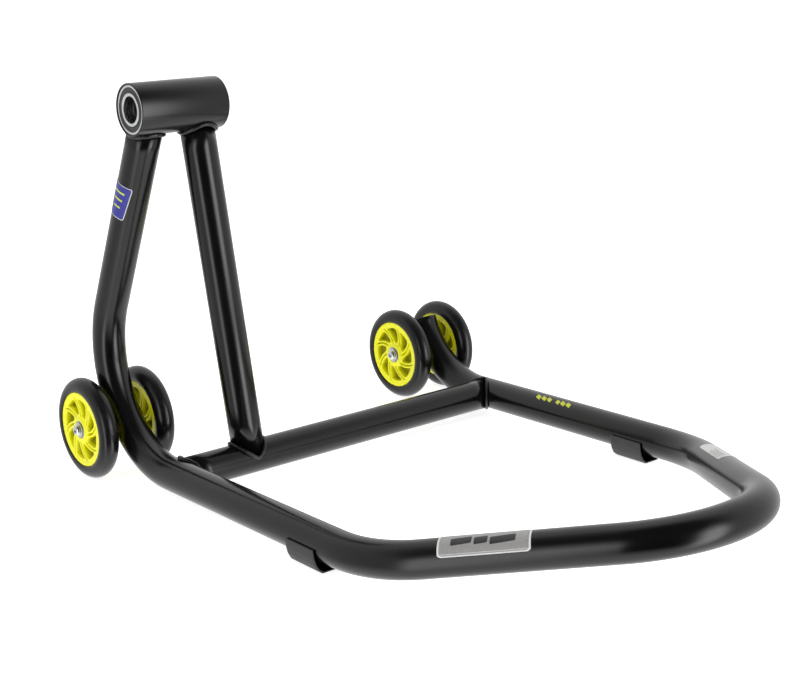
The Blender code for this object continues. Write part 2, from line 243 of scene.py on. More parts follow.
COAT = powder_coat()
WELD = weld_coat()
TYRE = tyre_rubber()
HUB = hub_plastic()
RACE = turned_steel("bearing_steel", (0.80, 0.81, 0.83), 0.26)
SLEEVE = turned_steel("sleeve_steel", (0.30, 0.29, 0.28), 0.42)
SHIELD = turned_steel("shield_steel", (0.66, 0.67, 0.70), 0.30)
ZINC = zinc_plate()
SEAL = soft_rubber("seal_rubber", 0.040, 0.50)
FOOT = soft_rubber("foot_rubber", 0.040, 0.55)
SILVER = label_film("label_silver", (0.30, 0.295, 0.29), (0.37, 0.365, 0.36), 0.38, 0.15)
SILVER_EDGE = label_film("label_edge", (0.74, 0.74, 0.74), (0.82, 0.82, 0.82), 0.40)
INK = label_film("label_ink", (0.020, 0.020, 0.022), (0.030, 0.030, 0.032), 0.35)
WHITE = label_film("label_white", (0.58, 0.58, 0.57), (0.66, 0.66, 0.65), 0.42)
BLUE = label_film("label_blue", (0.018, 0.022, 0.235), (0.030, 0.038, 0.300), 0.36)
YELLOW = label_film("mark_yellow", (0.52, 0.58, 0.02), (0.66, 0.70, 0.05), 0.42)


# ---------------------------------------------------------------- mesh helpers
def build(name, mesh, body, slot_name, mat, *nodes):
    """Wrap a mesh as a piece: smooth faces, material, body, and the CAD nodes it stands for; slot_name is not
    used.
    """
    obj = bpy.data.objects.new(name, mesh)
    bpy.context.scene.collection.objects.link(obj)
    if mat and not mesh.materials:
        mesh.materials.append(mat)
    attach(obj, body)
    if nodes:
        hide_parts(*nodes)
    return obj


def skin(name, rings, close_rings=False, close_points=True, cap=False, flip=False):
    """Quads between rings of points; the rings may close on each other, and end rings may be capped."""
    bm = bmesh.new()
    rows = [[bm.verts.new(p) for p in ring] for ring in rings]
    count = len(rows[0])
    for i in range(len(rows) if close_rings else len(rows) - 1):
        a, b = rows[i], rows[(i + 1) % len(rows)]
        for j in range(count if close_points else count - 1):
            k = (j + 1) % count
            bm.faces.new((a[j], a[k], b[k], b[j]) if not flip else (a[j], b[j], b[k], a[k]))
    if cap:
        bm.faces.new(rows[0] if flip else list(reversed(rows[0])))
        bm.faces.new(list(reversed(rows[-1])) if flip else rows[-1])
    bmesh.ops.recalc_face_normals(bm, faces=bm.faces)
    for face in bm.faces:
        face.smooth = True
    mesh = bpy.data.meshes.new(name)
    bm.to_mesh(mesh)
    bm.free()
    return mesh


def turned(name, outline, centre, steps=96):
    """Closed outline of (radius, x) points turned about the X axis through centre."""
    rings = []
    for k in range(steps):
        a = 2 * math.pi * k / steps
        rings.append([centre + Vector((x, r * math.cos(a), r * math.sin(a))) for r, x in outline])
    return skin(name, rings, close_rings=True)


def rounded(outline, radius, steps=3):
    """Outline with each corner rounded."""
    points = []
    count = len(outline)
    for i in range(count):
        before = Vector(outline[i - 1])
        corner = Vector(outline[i])
        after = Vector(outline[(i + 1) % count])
        reach = min(radius, 0.45 * (before - corner).length, 0.45 * (after - corner).length)
        start = corner + (before - corner).normalized() * reach
        end = corner + (after - corner).normalized() * reach
        for k in range(steps + 1):
            t = k / steps
            points.append(tuple(start * (1 - t) ** 2 + corner * 2 * t * (1 - t) + end * t ** 2))
    return points


def box_section(inner, outer, low, high):
    return [(outer, high), (outer, low), (inner, low), (inner, high)]


def filleted(corners, radii, step=math.radians(2.5), run=0.012):
    """Smooth polyline through corners with rounded bends."""
    points = [corners[0].copy()]

    def straight(end):
        start = points[-1].copy()
        count = max(1, round((end - start).length / run))
        for k in range(1, count + 1):
            points.append(start.lerp(end, k / count))

    for i in range(1, len(corners) - 1):
        before, corner, after = corners[i - 1], corners[i], corners[i + 1]
        arrive = (corner - before).normalized()
        leave = (after - corner).normalized()
        turn = arrive.angle(leave)
        radius = radii[i - 1]
        start = corner - arrive * radius * math.tan(turn / 2)
        inward = (leave - arrive * arrive.dot(leave)).normalized()
        centre = start + inward * radius
        straight(start)
        steps = max(2, math.ceil(turn / step))
        for k in range(1, steps + 1):
            a = turn * k / steps
            points.append(centre + radius * (arrive * math.sin(a) - inward * math.cos(a)))
    straight(corners[-1])
    return points


class Path:
    """Centreline with lengths and frames carried along it without twist."""

    def __init__(self, points, side):
        self.points = points
        self.lengths = [0.0]
        for a, b in zip(points, points[1:]):
            self.lengths.append(self.lengths[-1] + (b - a).length)
        self.tangents = []
        for i in range(len(points)):
            a, b = points[max(i - 1, 0)], points[min(i + 1, len(points) - 1)]
            self.tangents.append((b - a).normalized())
        self.sides = []
        for tangent in self.tangents:
            side = (side - tangent * side.dot(tangent)).normalized()
            self.sides.append(side.copy())

    def place(self, length, angle, radius):
        """Point at a length along the path, at an angle round it and a distance from it."""
        i = 0
        while i < len(self.lengths) - 2 and self.lengths[i + 1] < length:
            i += 1
        t = (length - self.lengths[i]) / (self.lengths[i + 1] - self.lengths[i])
        centre = self.points[i].lerp(self.points[i + 1], t)
        tangent = self.tangents[i].lerp(self.tangents[i + 1], t).normalized()
        side = self.sides[i].lerp(self.sides[i + 1], t)
        side = (side - tangent * side.dot(tangent)).normalized()
        return centre + radius * (side * math.cos(angle) + tangent.cross(side) * math.sin(angle))

    def ring(self, i, radius, count):
        tangent, side = self.tangents[i], self.sides[i]
        up = tangent.cross(side)
        turn = 2 * math.pi / count
        return [self.points[i] + radius * (side * math.cos(turn * k) + up * math.sin(turn * k))
                for k in range(count)]


def slide_to(point, along, head, head_axis, head_radius):
    """Where a line from point along a direction last meets a round bar's surface."""
    base = point - head
    p = base - head_axis * base.dot(head_axis)
    d = along - head_axis * along.dot(head_axis)
    qa, qb, qc = d.dot(d), 2 * p.dot(d), p.dot(p) - head_radius ** 2
    root = math.sqrt(max(qb * qb - 4 * qa * qc, 0.0))
    return point + along * (-qb + root) / (2 * qa)


LIP = 0.0004
COPE_CLEAR = 0.016


def pipe(name, path, start=None, end=None, count=64):
    """Hollow tube along a path.  start and end, where given, cope that end onto a round bar
    as (head point, head axis, head radius)."""
    last = len(path.points) - 1
    outer = [path.ring(i, TUBE_R, count) for i in range(last + 1)]
    inner = [path.ring(i, TUBE_R - TUBE_WALL, count) for i in range(last + 1)]
    for rings in (outer, inner):
        if start:
            rings[0] = [slide_to(p, path.tangents[0], *start) for p in rings[0]]
        if end:
            rings[-1] = [slide_to(p, -path.tangents[-1], *end) for p in rings[-1]]
    if start:
        keep = [i for i in range(1, last + 1) if path.lengths[i] > start[2] + COPE_CLEAR]
        outer = [outer[0]] + [outer[i] for i in keep]
        inner = [inner[0]] + [inner[i] for i in keep]
    if end:
        far = path.lengths[-1]
        kept = len(outer)
        first = last + 1 - kept
        keep = [j for j in range(kept - 1) if far - path.lengths[j + first if j else 0] > end[2] + COPE_CLEAR]
        outer = [outer[j] for j in keep] + [outer[-1]]
        inner = [inner[j] for j in keep] + [inner[-1]]
    rings = outer
    if not end:
        # softly rounded saw-cut lip
        mid_out = path.ring(last, TUBE_R - LIP, count)
        mid_in = path.ring(last, TUBE_R - TUBE_WALL + LIP, count)
        push = path.tangents[-1] * LIP
        rings = outer + [[p + push for p in mid_out], [p + push for p in mid_in]]
    rings = rings + list(reversed(inner))
    return skin(name, rings, close_rings=True)


# ---------------------------------------------------------------- frame tubes
apex = at(0.0, BOW_APEX_Y, rail_z(BOW_Y) + BOW_RISE * (BOW_Y - BOW_APEX_Y))
lean = Vector((0.0, HOUSING_Y - BEND_Y, HOUSING_Z - rail_z(BEND_Y)))
full_turn = math.pi - math.atan2(lean.z, -lean.y)
tangent_y = BEND_Y - BEND_CLR * math.tan(full_turn / 2)
horn = []
for k in range(25):
    a = HORN_ANGLE * k / 24
    horn.append(at(RAIL_X, tangent_y + BEND_CLR * math.sin(a),
                   rail_z(tangent_y) + BEND_CLR * (1 - math.cos(a))))
corners = [
    at(-RAIL_X, HOUSING_Y, HOUSING_Z),
    at(-RAIL_X, BEND_Y, rail_z(BEND_Y)),
    at(-RAIL_X, BOW_Y, rail_z(BOW_Y)),
    apex,
    at(RAIL_X, BOW_Y, rail_z(BOW_Y)),
    horn[0],
]
main_points = filleted(corners, [BEND_CLR, BOW_SIDE_CLR, BOW_CLR, BOW_SIDE_CLR]) + horn[1:]
MAIN = Path(main_points, Vector((-1.0, 0.0, 0.0)))

cross_left = at(-RAIL_X, CROSS_Y, rail_z(CROSS_Y))
cross_right = at(RAIL_X, CROSS_Y, rail_z(CROSS_Y))
strut_base = at(STRUT_BASE_X, CROSS_Y, rail_z(CROSS_Y))
strut_top = at(STRUT_TOP_X, HOUSING_Y, HOUSING_Z)
housing_mid = at((HOUSING_X0 + HOUSING_X1) / 2, HOUSING_Y, HOUSING_Z)
housing_half = (HOUSING_X1 - HOUSING_X0) / 2
rail_dir = Vector((0.0, 1.0, RAIL_SLOPE)).normalized()
strut_dir = (strut_top - strut_base).normalized()
upright_dir = (corners[1] - corners[0]).normalized()

build("frame_tube", pipe("frame_tube", MAIN, start=(housing_mid, ACROSS, HOUSING_R - 0.0006)),
      "frame", "powder_coat", COAT, "main_tube")
build("cross_bar", pipe("cross_bar", Path(filleted([cross_left, cross_right], []), Vector((0, 0, 1.0))),
                        start=(cross_left, rail_dir, TUBE_R + 0.00005),
                        end=(cross_right, rail_dir, TUBE_R + 0.00005)),
      "frame", "powder_coat", COAT, "cross_tube")
build("strut_bar", pipe("strut_bar", Path(filleted([strut_base, strut_top], []), Vector((0, -1.0, 0))),
                        start=(strut_base, ACROSS, TUBE_R + 0.00005),
                        end=(strut_top, ACROSS, HOUSING_R - 0.0006)),
      "frame", "powder_coat", COAT, "strut_tube")
shell = rounded(box_section(HOUSING_BORE_R, HOUSING_R, -housing_half, housing_half), 0.0009)
build("housing_shell", turned("housing_shell", shell, housing_mid, 128),
      "frame", "powder_coat", COAT, "bearing_housing")


# ---------------------------------------------------------------- weld beads
def weld_bead(name, base, along, branch_radius, head, head_axis, head_radius, seed, node,
              lumpy=1.0, size=1.0):
    """Rippled bead laid in the corner where two round bars meet."""
    along = along.normalized()
    head_axis = head_axis.normalized()
    side = along.orthogonal().normalized()
    up = along.cross(side)
    count = 260
    spine = []
    for k in range(count):
        a = 2 * math.pi * k / count
        start = base + (branch_radius + BEAD_OFFSET) * (side * math.cos(a) + up * math.sin(a))
        spine.append(slide_to(start, along, head, head_axis, head_radius + BEAD_OFFSET))
    rings = []
    run = 0.0
    for k in range(count):
        point = spine[k]
        ahead, behind = spine[(k + 1) % count], spine[k - 1]
        tangent = (ahead - behind).normalized()
        run += (point - behind).length if k else 0.0
        radial = point - base
        radial = (radial - along * radial.dot(along)).normalized()
        radial = (radial - tangent * radial.dot(tangent)).normalized()
        other = tangent.cross(radial)
        ripple = (run / 0.0024) % 1.0
        swell = 0.00028 * (1.0 - ripple) * lumpy
        wave = noise.noise(Vector((run * 60.0, seed, 0.0)))
        radius = 0.0024 * size + swell + 0.00060 * wave * lumpy
        shift = radial * 0.0004 * noise.noise(Vector((run * 90.0, seed, 4.0)))
        ring = []
        for j in range(14):
            b = 2 * math.pi * j / 14
            ring.append(point + shift + radius * (radial * math.cos(b) + other * math.sin(b)))
        rings.append(ring)
    mesh = skin(name, rings, close_rings=True)
    return build(name, mesh, "frame", "weld_coat", WELD, node)


weld_bead("bead_upright", corners[0], upright_dir, TUBE_R, housing_mid, ACROSS, HOUSING_R, 1.3,
          "weld_upright")
weld_bead("bead_strut_top", strut_top, -strut_dir, TUBE_R, housing_mid, ACROSS, HOUSING_R, 7.1,
          "weld_strut_top")
weld_bead("bead_strut_base", strut_base, strut_dir, TUBE_R, strut_base, ACROSS, TUBE_R + 0.0004, 3.7,
          "weld_strut_base", 1.7, 0.85)
weld_bead("bead_cross_l", cross_left, ACROSS, TUBE_R, cross_left, rail_dir, TUBE_R + 0.0004, 9.2,
          "weld_cross_l", 1.6, 0.85)
weld_bead("bead_cross_r", cross_right, -ACROSS, TUBE_R, cross_right, rail_dir, TUBE_R + 0.0004, 5.5,
          "weld_cross_r", 1.3, 0.55)

# ---------------------------------------------------------------- housing bearings
INSET, RACE_W = 0.0010, 0.0130
for side, sign in (("l", -1), ("r", 1)):
    centre = housing_mid + Vector((sign * (housing_half - INSET - RACE_W / 2), 0.0, 0.0))
    half = RACE_W / 2
    outer = rounded(box_section(0.0248, HOUSING_BORE_R - 0.0001, -half, half), 0.0007)
    build("race_ring_" + side, turned("race_ring_" + side, outer, centre, 128),
          "frame", "bearing_steel", RACE, "bearing_outer_" + side)
    face = half - 0.0005
    seal = [(0.0247, face - 0.0003), (0.0240, face), (0.0232, face), (0.0228, face - 0.0006),
            (0.0214, face - 0.0007), (0.0210, face - 0.0003), (0.0196, face - 0.0004),
            (0.0192, face - 0.0009), (0.0188, face - 0.0010)]
    seal += [(r, -x) for r, x in reversed(seal)]
    build("seal_ring_" + side, turned("seal_ring_" + side, seal, centre, 128),
          "frame", "seal_rubber", SEAL, "bearing_seal_" + side)
    inner = rounded(box_section(0.0150, 0.0186, -half, half), 0.0008)
    build("bore_ring_" + side, turned("bore_ring_" + side, inner, centre, 128),
          "hub_sleeve", "bearing_steel", RACE, "bearing_inner_" + side)
sleeve_half = housing_half - INSET - RACE_W - 0.0003
spacer = rounded(box_section(0.0153, 0.0180, -sleeve_half, sleeve_half), 0.0005)
build("bore_sleeve", turned("bore_sleeve", spacer, housing_mid, 96),
      "hub_sleeve", "bearing_steel", SLEEVE, "distance_sleeve")


# ---------------------------------------------------------------- feet
def foot(name, x, node):
    """Moulded saddle: flat sole with walls that hug the rail, soft edges all round."""
    z = rail_z(FOOT_Y)
    half = [(0.0, 0.0), (FOOT_SOLE_HALF, 0.0), (0.0165, 0.0045), (0.0203, 0.0115), (0.0222, 0.0190),
            (0.0229, z), (0.0204, z), (0.0200, 0.0200), (0.0178, 0.0125), (0.0140, 0.0060), (0.0090, 0.0026),
            (0.0, 0.0018)]
    mirror = [(-a, b) for a, b in reversed(half) if a > 0]
    outline = rounded(half[1:-1] + mirror, 0.0011, 3)
    rings = []
    soften = [(-0.5, 0.0009), (-0.4955, 0.0004), (-0.485, 0.0001), (-0.47, 0.0), (-0.2, 0.0), (0.0, 0.0),
              (0.2, 0.0), (0.47, 0.0), (0.485, 0.0001), (0.4955, 0.0004), (0.5, 0.0009)]
    count = len(outline)
    for place, shrink in soften:
        ring = []
        for i, (a, b) in enumerate(outline):
            before = Vector(outline[i - 1])
            after = Vector(outline[(i + 1) % count])
            run = (after - before).normalized()
            inward = Vector((-run.y, run.x)) * shrink
            ring.append(at(x + a + inward.x, FOOT_Y + place * FOOT_LENGTH, max(b + inward.y, 0.0)))
        rings.append(ring)
    mesh = skin(name, rings, cap=True)
    return build(name, mesh, "frame", "foot_rubber", FOOT, node)


foot("foot_pad_l", -RAIL_X, "foot_l")
foot("foot_pad_r", RAIL_X, "foot_r")


# ---------------------------------------------------------------- wheels
SPOKES = 8
SWIRL = math.radians(27)


def rounded_depth(walls, radius):
    """Distance inside a pocket whose walls are that far away, with rounded corners."""
    return radius - math.sqrt(sum(max(radius - wall, 0.0) ** 2 for wall in walls))


def groove_half(r):
    """Half width of the groove down the middle of a spoke, in millimetres, at radius r."""
    return 1.9 - 0.4 * smoothstep(17.0, 39.0, r)


def ridge_width(r):
    return 1.9 + 0.3 * smoothstep(20.0, 38.0, r)


def hub_height(r, d):
    """Half thickness of the hub in millimetres at radius r, d from the middle of the nearest spoke."""
    top = 10.3 + 1.7 * (1.0 - smoothstep(13.6, 16.0, r)) + 0.5 * smoothstep(40.6, 41.6, r)
    groove, ridge = groove_half(r), ridge_width(r)
    pocket = rounded_depth((d - groove - ridge, r - 18.0, 38.0 - r), 3.2)
    slot = rounded_depth((groove - d, r - 16.6, 40.2 - r), min(groove * 0.98, 1.5))
    height = top - (top - 1.6) * smoothstep(0.0, 1.3, pocket)
    height -= 4.4 * smoothstep(0.0, 0.8, slot)
    edge = smoothstep(45.2, 46.2, r)
    return height - 0.7 * edge * edge


def hub_mesh():
    """Eight-spoke swirl hub about the X axis, both faces from one height rule."""
    radii = [11.3, 11.7, 12.6, 13.5, 14.2, 14.9, 15.6, 16.3, 16.9, 17.5, 18.1, 18.7, 19.3, 19.9, 20.6,
             21.4, 22.4, 23.6, 25.0, 26.5, 28.0, 29.5, 31.0, 32.3, 33.4, 34.3, 35.1, 35.8, 36.4, 37.0,
             37.6, 38.2, 38.8, 39.4, 39.9, 40.4, 40.9, 41.5, 42.5, 43.8, 44.8, 45.4, 45.8, 46.2]
    faces = []
    for sign in (-1, 1):
        rings = []
        for r in radii:
            groove, ridge = groove_half(r), ridge_width(r)
            reach = math.pi / SPOKES * r
            stops = [0.0, groove * 0.35, groove * 0.6, groove * 0.85, groove, groove + 0.3 * ridge,
                     groove + 0.65 * ridge, groove + ridge]
            rest = reach - groove - ridge
            stops += [groove + ridge + rest * t for t in (0.08, 0.16, 0.26, 0.38, 0.52, 0.68, 0.84)]
            swirl = SWIRL * (r - 16.7) / (40.0 - 16.7)
            ring = []
            for spoke in range(SPOKES):
                middle = 2 * math.pi * spoke / SPOKES + swirl + 0.12
                offsets = [-reach] + [-d for d in reversed(stops[1:])] + stops
                for d in offsets:
                    a = middle + d / r
                    x = sign * hub_height(r, abs(d))
                    ring.append(Vector((x, -r * math.cos(a), r * math.sin(a))) * 0.001)
            rings.append(ring)
        faces.append(rings)
    rings = faces[0] + list(reversed(faces[1]))
    return skin("hub_disc", rings, close_rings=True)


def tyre_mesh():
    """Round tread with a faint mould line, side lips and a bead seat on the hub."""
    core = WHEEL_R - WHEEL_HALF
    start = math.asin((core - HUB_R) / WHEEL_HALF)
    outline = []
    count = 44
    for k in range(count + 1):
        a = math.pi / 2 + start - (math.pi + 2 * start) * k / count
        grow = 0.00012 * math.exp(-(a / 0.035) ** 2)
        outline.append((core + (WHEEL_HALF + grow - 0.00005) * math.cos(a), WHEEL_HALF * math.sin(a)))
    lip = outline[0][1]
    head = [(HUB_R - 0.00005, lip - 0.0008), (HUB_R, lip - 0.0003)]
    tail = [(HUB_R, -lip + 0.0003), (HUB_R - 0.00005, -lip + 0.0008)]
    return turned("tyre_ring", head + outline + tail, Vector((0.0, 0.0, 0.0)), 144)


def instance(name, mesh, place, body, slot_name, *nodes, turn=0.0):
    """A piece from a shared mesh that has its own materials, placed and turned about the X axis."""
    obj = build(name, mesh, body, slot_name, None)
    bpy.context.view_layer.update()
    obj.matrix_world = Matrix.Translation(place) @ Matrix.Rotation(turn, 4, "X")
    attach(obj, body)
    if nodes:
        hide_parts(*nodes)
    return obj


hub_disc = hub_mesh()
hub_disc.materials.append(HUB)
tyre_ring = tyre_mesh()
tyre_ring.materials.append(TYRE)
race_face = [(0.0110, 0.0031), (0.0108, 0.0034), (0.0106, 0.0035), (0.0097, 0.0035), (0.0095, 0.0032),
             (0.0093, 0.0030), (0.0076, 0.0030), (0.0074, 0.0028), (0.0064, 0.0028)]
race_face += [(r, -x) for r, x in reversed(race_face)]
race_ring = turned("race_disc", race_face, Vector((0, 0, 0)), 72)
race_ring.materials.append(SHIELD)
bore_section = rounded(box_section(0.0043, 0.0061, -0.0035, 0.0035), 0.0004)
bore_ring = turned("bore_disc", bore_section, Vector((0, 0, 0)), 48)
bore_ring.materials.append(RACE)
gap_section = rounded(box_section(0.0043, 0.0058, -0.0047, 0.0047), 0.0003)
gap_ring = turned("gap_disc", gap_section, Vector((0, 0, 0)), 48)
gap_ring.materials.append(RACE)

WHEELS = (("left_outer", -RAIL_X - WHEEL_OFFSET, 0.30), ("left_inner", -RAIL_X + WHEEL_OFFSET, 0.9),
          ("right_inner", RAIL_X - WHEEL_OFFSET, 0.0), ("right_outer", RAIL_X + WHEEL_OFFSET, 0.55))
for name, x, turn in WHEELS:
    centre = at(x, 0.0, WHEEL_R)
    body = "wheel_" + name
    instance("hub_wheel_" + name, hub_disc, centre, body, "hub_plastic", "hub_" + name, turn=turn)
    instance("tread_" + name, tyre_ring, centre, body, "tyre_pu", "tyre_" + name)
    for end, sign in (("a", -1), ("b", 1)):
        place = centre + Vector((sign * 0.0085, 0.0, 0.0))
        instance("ring_%s_%s" % (end, name), race_ring, place, body, "bearing_steel",
                 "race_outer_%s_%s" % (end, name))
        instance("bore_%s_%s" % (end, name), bore_ring, place, "frame", "bearing_steel",
                 "race_inner_%s_%s" % (end, name))
    instance("gap_" + name, gap_ring, centre, "frame", "bearing_steel", "spacer_" + name)


# ---------------------------------------------------------------- axles
def hex_ring(radius, x, corner, steps=96):
    """Ring of points on a hexagon with slightly rounded corners, or a circle where corner is 1."""
    ring = []
    for k in range(steps):
        a = 2 * math.pi * k / steps
        local = (a + math.pi / 6) % (math.pi / 3) - math.pi / 6
        flat = radius * math.cos(math.pi / 6) / math.cos(local)
        r = min(flat, radius * (0.985 + 0.015 * corner)) * (1 - corner) + radius * corner
        ring.append(Vector((x, r * math.cos(a), r * math.sin(a))))
    return ring


# distances from the middle of the axle to the faces under the bolt's head and nut, and to the head's top
WASHER_HALF = 0.0008
SEAT = WHEEL_OFFSET + WHEEL_HALF + 0.0006 + 0.0016
HEAD = SEAT + 0.0044
THREAD_PITCH = 0.00125


def bolt_mesh():
    """Button-head socket bolt with a threaded tip."""
    rings = []
    socket = [(0.0029, -HEAD + 0.0028, 0.0), (0.0029, -HEAD + 0.0005, 0.0), (0.0031, -HEAD + 0.0002, 0.0),
              (0.0034, -HEAD + 0.00005, 0.4)]
    for r, x, corner in socket:
        rings.append(hex_ring(r, x, corner))
    dome = [(0.0038, -HEAD), (0.0045, -HEAD + 0.0002), (0.0053, -HEAD + 0.0007), (0.0060, -HEAD + 0.0014),
            (0.0066, -HEAD + 0.0023), (0.0069, -HEAD + 0.0031), (0.0070, -HEAD + 0.0038),
            (0.0070, -SEAT - 0.0002), (0.0068, -SEAT), (0.0041, -SEAT), (0.0040, -SEAT + 0.0004),
            (0.0040, SEAT - 0.0040)]
    for r, x in dome:
        rings.append(hex_ring(r, x, 1.0))
    x = SEAT - 0.0036
    while x < SEAT + 0.0082:
        rings.append(hex_ring(0.0040, x, 1.0))
        rings.append(hex_ring(0.00345, x + THREAD_PITCH / 2, 1.0))
        x += THREAD_PITCH
    rings.append(hex_ring(0.0036, SEAT + 0.0086, 1.0))
    rings.append(hex_ring(0.0030, SEAT + 0.0090, 1.0))
    return skin("bolt_form", rings, cap=True)


def nut_mesh():
    """Hexagon lock nut with chamfered corners and a round collar that holds the plastic insert."""
    rings = [hex_ring(0.0042, 0.0004, 1.0), hex_ring(0.0046, 0.0, 1.0), hex_ring(0.0064, 0.0, 1.0),
             hex_ring(0.0071, 0.0006, 0.4), hex_ring(0.00745, 0.0012, 0.0), hex_ring(0.00745, 0.0054, 0.0),
             hex_ring(0.0070, 0.0060, 0.4), hex_ring(0.0062, 0.0063, 1.0), hex_ring(0.0060, 0.0066, 1.0),
             hex_ring(0.0060, 0.0074, 1.0), hex_ring(0.0056, 0.0079, 1.0), hex_ring(0.0050, 0.0080, 1.0),
             hex_ring(0.0045, 0.0078, 1.0), hex_ring(0.0042, 0.0072, 1.0)]
    return skin("nut_form", rings, close_rings=True)


bolt_form = bolt_mesh()
bolt_form.materials.append(ZINC)
nut_form = nut_mesh()
nut_form.materials.append(ZINC)
washer_section = rounded(box_section(0.0043, 0.0090, -WASHER_HALF, WASHER_HALF), 0.0003)
washer_form = turned("washer_form", washer_section, Vector((0, 0, 0)))
washer_form.materials.append(ZINC)
nose = WHEEL_OFFSET - WHEEL_HALF - 0.0003
bush_outline = rounded([(0.0064, nose), (0.0064, 0.0235), (0.0100, 0.0235), (0.0100, -0.0235),
                        (0.0064, -0.0235), (0.0064, -nose), (0.0043, -nose), (0.0043, nose)], 0.0006)
bush_form = turned("bush_form", bush_outline, Vector((0, 0, 0)), 64)
bush_form.materials.append(COAT)
for side, x in (("l", -RAIL_X), ("r", RAIL_X)):
    centre = at(x, 0.0, WHEEL_R)
    instance("bolt_" + side, bolt_form, centre, "frame", "zinc_steel", "axle_bolt_" + side, turn=0.2)
    instance("nut_" + side, nut_form, centre + Vector((SEAT, 0, 0)), "frame", "zinc_steel",
             "axle_nut_" + side, turn=0.4)
    instance("bush_" + side, bush_form, centre, "frame", "powder_coat", "axle_bush_" + side)
    for end, sign in (("head", -1), ("nut", 1)):
        place = centre + Vector((sign * (SEAT - 0.0003 - WASHER_HALF), 0, 0))
        instance("disc_%s_%s" % (end, side), washer_form, place, "frame", "zinc_steel",
                 "washer_%s_%s" % (end, side))


# ---------------------------------------------------------------- labels and printed marks
def patch(name, s0, s1, a0, a1, mat, lift, corner=0.004, skew=0.0, thick=0.00016):
    """Thin film wrapped on the main tube between two lengths and two angles in degrees."""
    cols, rows = 40, 28
    radius = TUBE_R + lift
    width = s1 - s0
    a0, a1 = math.radians(a0), math.radians(a1)
    height = (a1 - a0) * TUBE_R
    top, bottom = [], []
    for j in range(rows + 1):
        v = j / rows
        line_top, line_bottom = [], []
        y = (v - 0.5) * height
        inset = 0.0
        over = abs(y) - (height / 2 - corner)
        if over > 0:
            inset = corner - math.sqrt(max(corner ** 2 - over ** 2, 0.0))
        for i in range(cols + 1):
            s = s0 + inset + (width - 2 * inset) * i / cols
            a = (a0 + a1) / 2 + y / TUBE_R + skew * (s - (s0 + s1) / 2) / TUBE_R
            line_top.append(MAIN.place(s, a, radius + thick))
            line_bottom.append(MAIN.place(s, a, radius))
        top.append(line_top)
        bottom.append(line_bottom)
    rings = [list(t) + list(reversed(b)) for t, b in zip(top, bottom)]
    mesh = skin(name, rings, cap=True)
    return build(name, mesh, "frame", "powder_coat", mat)


patch("label_bow_edge", 0.9855, 1.0792, -112.0, -17.2, SILVER_EDGE, 0.00004, 0.0035)
patch("label_bow_film", 0.9875, 1.0772, -109.0, -20.2, SILVER, 0.00022, 0.0030)
patch("label_bow_line", 0.9880, 1.0767, -25.6, -24.4, SILVER_EDGE, 0.00040, 0.0001)
for k, (start, end) in enumerate(((0.9990, 1.0200), (1.0225, 1.0360), (1.0385, 1.0640))):
    patch("label_bow_bar_%d" % k, start, end, -78.0 + 2 * k, -52.0 + 2 * k, INK, 0.00040, 0.0015, skew=-0.10)
patch("label_side_film", 1.5015, 1.5850, -119.0, -50.0, WHITE, 0.00004, 0.0030)
for k in range(4):
    patch("label_side_line_%d" % k, 1.5090, 1.5450 + 0.006 * (k % 2), -113.0 + 7.0 * k, -111.4 + 7.0 * k, INK,
          0.00022, 0.0002, thick=0.00010)
for k, (start, end) in enumerate(((1.8430, 1.8510), (1.8528, 1.8608), (1.8626, 1.8692),
                                  (1.8775, 1.8850), (1.8868, 1.8950), (1.8968, 1.9050))):
    patch("rail_mark_%d" % k, start, end, -125.0, -108.0, YELLOW, 0.00003, 0.0008, skew=0.35, thick=0.00010)
patch("upright_film_edge", 0.0962, 0.1400, -47.5, 60.0, WHITE, 0.00004, 0.0020, skew=0.10)
patch("upright_film", 0.0972, 0.1390, -44.5, 57.0, BLUE, 0.00022, 0.0016, skew=0.10)
for k in range(3):
    patch("upright_dash_%d" % k, 0.1050 + 0.0095 * k, 0.1072 + 0.0095 * k, -30.0 + 4 * k, 20.0 - 6 * k,
          YELLOW, 0.00040, 0.0008, thick=0.00010)


# ---------------------------------------------------------------- floor, light and camera
scene = bpy.context.scene
floor_mesh = bpy.data.meshes.new("floor")
bm = bmesh.new()
bmesh.ops.create_grid(bm, x_segments=1, y_segments=1, size=30.0)
bm.to_mesh(floor_mesh)
bm.free()
floor = bpy.data.objects.new("floor", floor_mesh)
scene.collection.objects.link(floor)
floor.location.z = -0.0004
floor_paint = Paint("floor_white", (0.80, 0.80, 0.80), 0.60, IOR=1.3)
floor_mesh.materials.append(floor_paint.mat)
floor_paint.shader.inputs["Emission Color"].default_value = (1.0, 1.0, 1.0, 1.0)
floor_paint.shader.inputs["Emission Strength"].default_value = 0.82
floor.visible_glossy = False

world = bpy.data.worlds.new("studio")
scene.world = world
world.use_nodes = True
tree = world.node_tree
coords = tree.nodes.new("ShaderNodeTexCoord")
TO_CAMERA, TO_RIGHT = (-0.632, -0.775, 0.0), (0.775, -0.632, 0.0)
DOWN, FRONT_ABOVE = (0.0, 0.0, -1.0), (-0.280, -0.501, 0.819)
PANEL_PEAK = 5.0
# (bearing in degrees, brightness): bright back, left panel with a strip, dark front, strip and right panel
PANELS = ((0, 1.0), (110, 0.65), (136, 0.55), (145, 2.8), (153, 2.8), (162, 0.03), (206, 0.01), (217, 0.35),
          (227, 4.6), (239, 4.6), (249, 0.70), (300, 0.80), (360, 1.0))
GROUND_LEVEL, ROOF_LEVEL = 1.3, 0.06


def world_maths(operation, a, b, clamp=False):
    node = tree.nodes.new("ShaderNodeMath")
    node.operation = operation
    node.use_clamp = clamp
    for socket, value in zip(node.inputs, (a, b)):
        if isinstance(value, (int, float)):
            socket.default_value = value
        else:
            tree.links.new(value, socket)
    return node.outputs[0]


